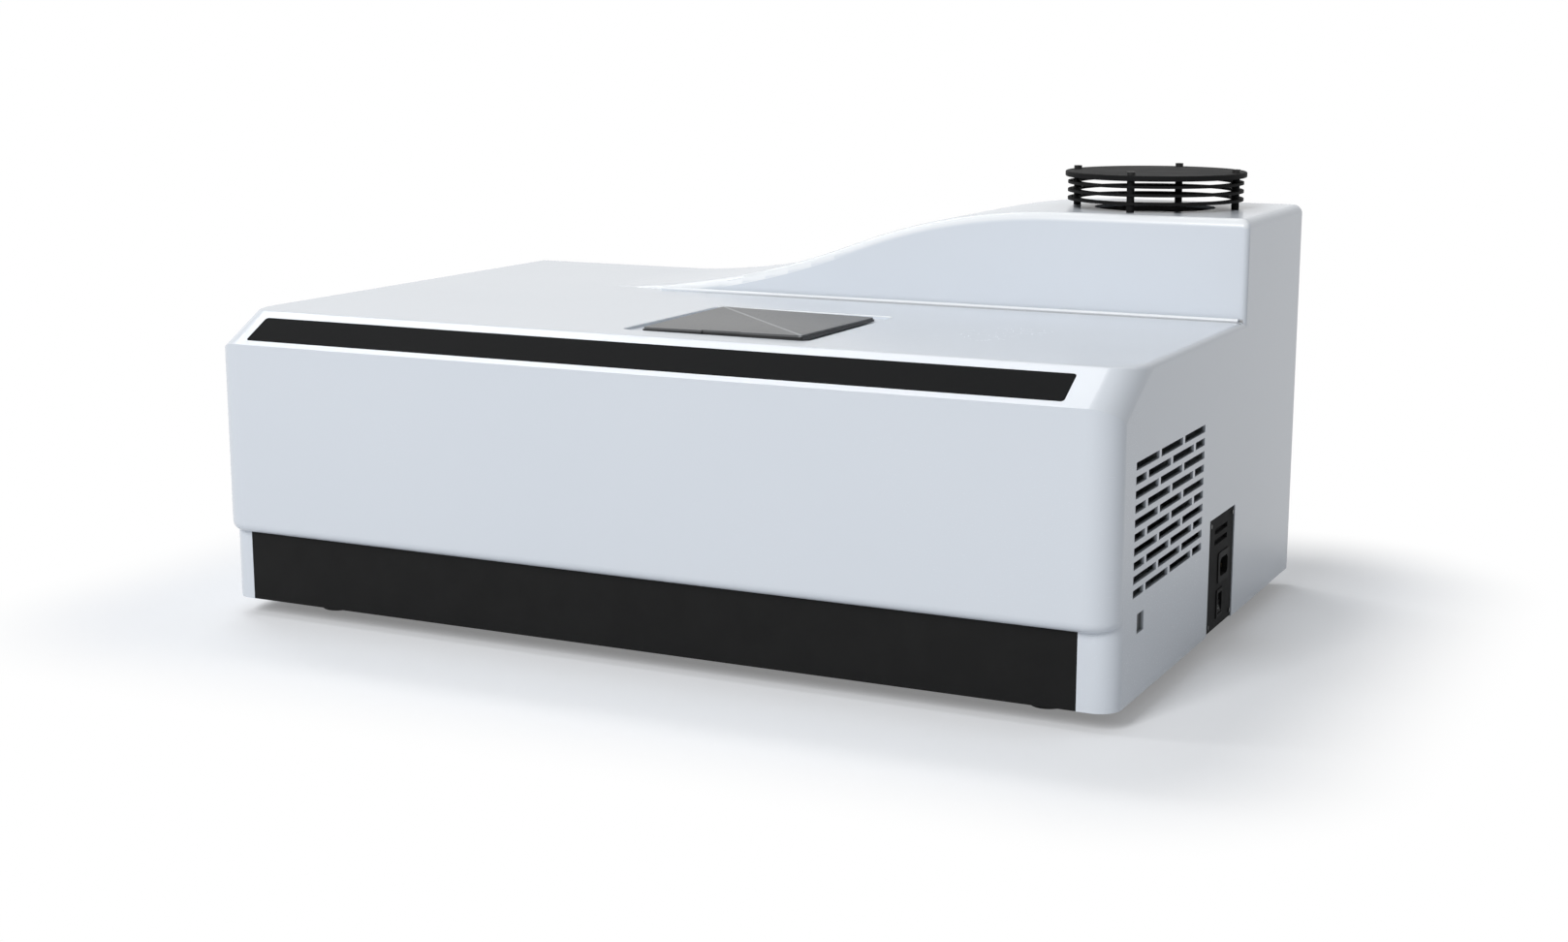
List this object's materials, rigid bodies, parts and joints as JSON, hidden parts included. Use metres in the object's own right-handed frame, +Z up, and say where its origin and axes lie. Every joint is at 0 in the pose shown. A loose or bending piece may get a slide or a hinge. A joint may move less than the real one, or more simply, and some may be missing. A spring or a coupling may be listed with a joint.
{
  "type": "benchtop fluorometer",
  "caption": "Benchtop fluorometer with a hinged sample lid on a flat deck, an S-shaped lamp tower, an exhaust stack, side vents and a connector panel.",
  "frame": {"origin": "centre of the footprint on the table, under the feet", "axes": "+X to the operator's right, -Y towards the operator, +Z up"},
  "size_m": [0.802, 0.524, 0.3836],
  "materials": {
    "white_paint": "satin white enamel with a cool tint over a moulded cover",
    "black_gloss": "gloss black acrylic",
    "dark_sheet": "black powder-coated sheet steel",
    "grey_sheet": "grey painted sheet",
    "screw_black": "blackened steel",
    "foot_rubber": "black rubber",
    "steel": "plain steel",
    "bench_aluminium": "milled aluminium",
    "black_plastic": "black moulded plastic",
    "brass": "plated brass",
    "grey_plastic": "grey moulded plastic",
    "lid_grey": "mid-grey gloss plastic",
    "black_anodised": "black anodised aluminium",
    "optic_glass": "clear polished glass",
    "exhaust_black": "black painted steel",
    "fan_black": "black moulded plastic",
    "ceramic": "glazed ceramic",
    "mirror_coat": "mirror coating",
    "motor_steel": "motor casing",
    "circuit_board": "green circuit board"
  },
  "bodies": {
    "cabinet": {"main_cover": "white_paint", "front_strip": "black_gloss", "kick_panel": "black_gloss", "base_tray": "dark_sheet", "rear_panel": "grey_sheet", "panel_screws": "screw_black", "feet": "foot_rubber", "foot_screws": "steel", "optical_bench": "bench_aluminium", "bench_standoffs": "steel", "io_panel": "black_plastic", "io_screws": "screw_black", "data_ports": "black_plastic", "power_inlet": "black_plastic", "inlet_pins": "brass", "switch_body": "black_plastic", "side_port_insert": "grey_plastic", "lid_seal": "foot_rubber", "hinge_brackets": "steel", "hinge_pins": "steel", "sample_chamber": "black_anodised", "beam_lenses": "optic_glass", "cuvette_holder": "black_anodised", "exhaust_posts": "exhaust_black", "exhaust_ring_1": "exhaust_black", "exhaust_ring_2": "exhaust_black", "exhaust_ring_3": "exhaust_black", "exhaust_cap": "exhaust_black", "cap_screws": "screw_black", "fan_frame": "fan_black", "lamp_housing": "bench_aluminium", "lamp_socket": "ceramic", "arc_lamp": "optic_glass", "lamp_reflector": "mirror_coat", "excitation_housing": "black_anodised", "emission_housing": "black_anodised", "grating_motors": "motor_steel", "fold_mirrors": "mirror_coat", "mirror_feet": "bench_aluminium", "slit_plates": "steel", "beam_tubes": "black_anodised", "filter_motor": "motor_steel", "pmt_housing": "black_anodised", "pmt_base": "black_plastic", "pmt_tube": "optic_glass", "power_supply": "bench_aluminium", "board_standoffs": "brass", "control_board": "circuit_board", "board_chips": "black_plastic"},
    "lid": {"lid_skin": "lid_grey", "lid_frame": "black_plastic"},
    "switch": {"switch_rocker": "black_plastic"},
    "fan": {"fan_rotor": "fan_black"},
    "excitation_turn": {"excitation_turntable": "steel", "excitation_grating": "mirror_coat"},
    "emission_turn": {"emission_turntable": "steel", "emission_grating": "mirror_coat"},
    "filter_turn": {"filter_wheel": "bench_aluminium", "band_filters": "optic_glass"}
  },
  "joints": [
    {"name": "lid_hinge", "type": "hinge", "parent": "cabinet", "child": "lid", "pos_m": [0.046, -0.034, 0.258], "axis": [-1, 0, 0], "range_deg": [0, 100]},
    {"name": "power_switch", "type": "hinge", "parent": "cabinet", "child": "switch", "pos_m": [0.39822, 0.027, 0.036], "axis": [0, 1, 0], "range_deg": [0, 16]},
    {"name": "fan_spin", "type": "hinge", "parent": "cabinet", "child": "fan", "pos_m": [0.292, 0.169, 0.3335], "axis": [0, 0, 1], "continuous": true},
    {"name": "excitation_scan", "type": "hinge", "parent": "cabinet", "child": "excitation_turn", "pos_m": [0.089, 0.11, 0.1], "axis": [0, 0, 1], "range_deg": [-35, 35]},
    {"name": "emission_scan", "type": "hinge", "parent": "cabinet", "child": "emission_turn", "pos_m": [-0.171, -0.03, 0.1], "axis": [0, 0, 1], "range_deg": [-35, 35]},
    {"name": "filter_select", "type": "hinge", "parent": "cabinet", "child": "filter_turn", "pos_m": [0.046, -0.042, 0.139], "axis": [0, 1, 0], "continuous": true}
  ]
}
